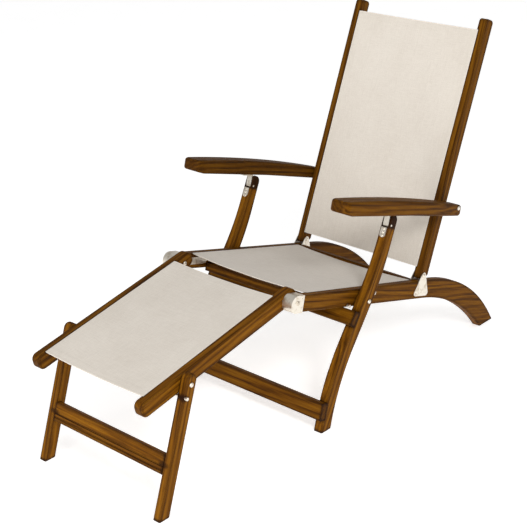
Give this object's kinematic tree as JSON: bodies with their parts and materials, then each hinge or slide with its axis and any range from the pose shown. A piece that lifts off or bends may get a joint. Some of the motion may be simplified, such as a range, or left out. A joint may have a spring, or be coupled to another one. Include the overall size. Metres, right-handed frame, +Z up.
{
  "type": "folding deck chair",
  "caption": "Reclining deck chair with hinged leg rest: curved wood frame, stretched fabric slings, wide arms, and a linked back, legs and arms that fold flat.",
  "frame": {"origin": "on the floor under the middle of the chair's box", "axes": "+X to the sitter's left, -Y towards the leg rest, +Y towards the heels, +Z up"},
  "size_m": [0.6084, 1.4701, 0.9858],
  "materials": {
    "frame_wood": "oiled hardwood, satin, grain along each member",
    "cross_wood": "oiled hardwood, satin, grain across the chair",
    "arm_wood": "oiled hardwood, satin, rounded all over",
    "dowel_wood": "plain hardwood, hidden",
    "back_cloth": "off-white woven sling",
    "seat_cloth": "off-white woven sling",
    "leg_rest_cloth": "off-white woven sling",
    "cap_steel": "satin nickel",
    "plate_steel": "satin nickel",
    "hinge_steel": "satin nickel",
    "screw_steel": "satin steel",
    "bolt_steel": "satin steel"
  },
  "bodies": {
    "seat_frame": {"back_pivot_bolts": "bolt_steel", "back_plate_inner_left": "plate_steel", "back_plate_inner_right": "plate_steel", "back_plate_outer_left": "plate_steel", "back_plate_outer_right": "plate_steel", "back_plate_screws": "screw_steel", "leg_limit_pins": "bolt_steel", "leg_pivot_bolts": "bolt_steel", "leg_pivot_washers": "bolt_steel", "leg_rest_pivot_bolts": "bolt_steel", "leg_stop_pins": "bolt_steel", "rail_cap_left": "cap_steel", "rail_cap_right": "cap_steel", "rail_cap_screws": "screw_steel", "seat_dowels": "dowel_wood", "seat_front_cross_rail": "cross_wood", "seat_rail_left": "frame_wood", "seat_rail_right": "frame_wood", "seat_rear_cross_rail": "cross_wood", "seat_sling": "seat_cloth"},
    "back_frame": {"back_dowels": "dowel_wood", "back_lower_spreader": "cross_wood", "back_sling": "back_cloth", "back_stile_left": "frame_wood", "back_stile_right": "frame_wood", "back_upper_spreader": "cross_wood"},
    "leg_frame": {"front_leg_left": "frame_wood", "front_leg_right": "frame_wood", "hinge_pins": "bolt_steel", "lower_stretcher": "cross_wood", "post_hinge_leaf_left": "hinge_steel", "post_hinge_leaf_right": "hinge_steel", "post_hinge_screws": "screw_steel", "upper_stretcher": "cross_wood"},
    "arm_left": {"arm_rear_bolt_left": "bolt_steel", "arm_strap_left": "hinge_steel", "arm_strap_screws_left": "screw_steel", "armrest_left": "arm_wood"},
    "arm_right": {"arm_rear_bolt_right": "bolt_steel", "arm_strap_right": "hinge_steel", "arm_strap_screws_right": "screw_steel", "armrest_right": "arm_wood"},
    "leg_rest": {"leg_rest_dowels": "dowel_wood", "leg_rest_front_cross_rail": "cross_wood", "leg_rest_leg_bolts": "bolt_steel", "leg_rest_rail_left": "frame_wood", "leg_rest_rail_right": "frame_wood", "leg_rest_rear_cross_rail": "cross_wood", "leg_rest_sling": "leg_rest_cloth"},
    "leg_rest_legs": {"leg_rest_leg_dowels": "dowel_wood", "leg_rest_leg_left": "frame_wood", "leg_rest_leg_right": "frame_wood", "leg_rest_stop_pins": "bolt_steel", "leg_rest_stretcher": "cross_wood"}
  },
  "joints": [
    {"name": "back_fold", "type": "hinge", "parent": "seat_frame", "child": "back_frame", "pos_m": [0, 0.358, 0.285], "axis": [1, 0, 0], "range_deg": [0, 94]},
    {"name": "leg_fold", "type": "hinge", "parent": "seat_frame", "child": "leg_frame", "pos_m": [0, 0.06, 0.323], "axis": [1, 0, 0], "range_deg": [0, 94]},
    {"name": "arm_left_swing", "type": "hinge", "parent": "leg_frame", "child": "arm_left", "pos_m": [0, 0.16, 0.516], "axis": [1, 0, 0], "range_deg": [-94, 0]},
    {"name": "arm_right_swing", "type": "hinge", "parent": "leg_frame", "child": "arm_right", "pos_m": [0, 0.16, 0.516], "axis": [1, 0, 0], "range_deg": [-94, 0]},
    {"name": "leg_rest_fold", "type": "hinge", "parent": "seat_frame", "child": "leg_rest", "pos_m": [0, -0.2, 0.406], "axis": [1, 0, 0], "range_deg": [-40, 0]},
    {"name": "leg_rest_leg_fold", "type": "hinge", "parent": "leg_rest", "child": "leg_rest_legs", "pos_m": [0, -0.592, 0.331], "axis": [-1, 0, 0], "range_deg": [-96, 0]}
  ],
  "couplings": [
    {"joint": "leg_fold", "follows": "back_fold", "ratio": 1},
    {"joint": "arm_left_swing", "follows": "back_fold", "ratio": -1},
    {"joint": "arm_right_swing", "follows": "back_fold", "ratio": -1}
  ]
}
